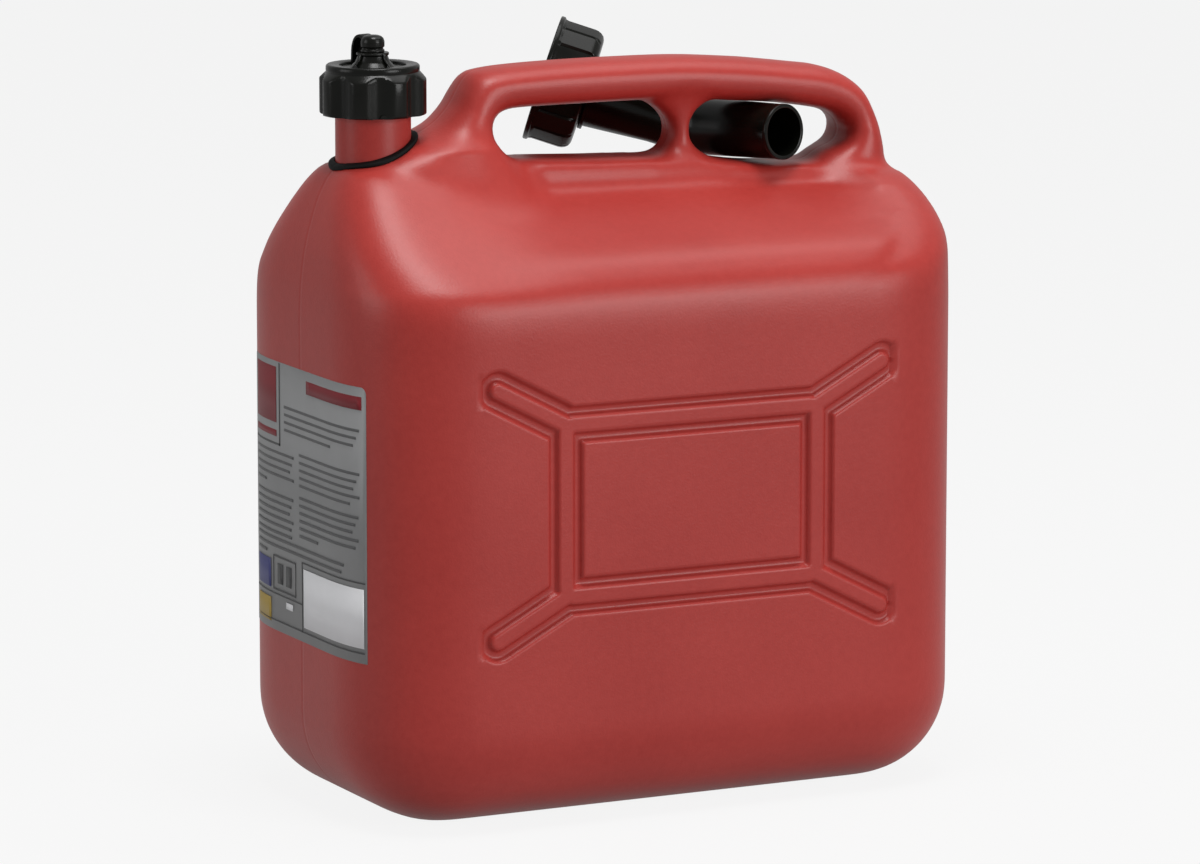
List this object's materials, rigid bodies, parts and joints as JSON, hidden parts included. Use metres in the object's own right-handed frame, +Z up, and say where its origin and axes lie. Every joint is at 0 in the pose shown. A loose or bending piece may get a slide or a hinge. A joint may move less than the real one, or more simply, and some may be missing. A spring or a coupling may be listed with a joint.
{
  "type": "plastic fuel can",
  "caption": "Moulded plastic fuel can with a bridge handle, screwed vented cap on an upright filler neck and a bent pouring spout stowed through the handle.",
  "frame": {"origin": "middle of the flat base", "axes": "+X along the can away from the filler neck, +Y across the can away from the face with the embossed frame in the picture, +Z up"},
  "size_m": [0.3574, 0.2175, 0.4118],
  "materials": {
    "red_plastic": "satin moulded polyethylene",
    "label_film": "printed silver-grey film",
    "black_plastic": "satin moulded plastic",
    "seal_rubber": "soft flat seal"
  },
  "bodies": {
    "can": {"can_body": "red_plastic", "side_label": "label_film", "neck_ring": "black_plastic"},
    "cap_insert": {"cap_disc": "black_plastic", "cap_gasket": "seal_rubber", "vent_strap": "black_plastic"},
    "cap_ring": {"cap_nut": "black_plastic"},
    "vent": {"vent_plug": "black_plastic"},
    "spout": {"spout_tube": "black_plastic", "spout_seal": "seal_rubber"},
    "spout_ring": {"spout_nut": "black_plastic"}
  },
  "joints": [
    {"name": "cap_rise", "type": "slide", "parent": "can", "child": "cap_insert", "axis": [0, 0, 1], "range_m": [0, 0.0225]},
    {"name": "cap_turn", "type": "hinge", "parent": "cap_insert", "child": "cap_ring", "pos_m": [-0.1355, 0, 0.381], "axis": [0, 0, 1], "range_deg": [0, 1224]},
    {"name": "vent_pull", "type": "slide", "parent": "cap_insert", "child": "vent", "axis": [0, 0, 1], "range_m": [0, 0.009], "deforming": ["vent_strap"]},
    {"name": "spout_pull", "type": "slide", "parent": "can", "child": "spout", "axis": [0, 1, 0], "range_m": [0, 0.15]},
    {"name": "spout_nut_turn", "type": "hinge", "parent": "spout", "child": "spout_ring", "pos_m": [0.0038, 0.0826, 0.3734], "axis": [0.8282, -0.4686, -0.3074], "continuous": true}
  ],
  "couplings": [
    {"joint": "cap_rise", "follows": "cap_turn", "m_per_rad": 0.0010345}
  ]
}
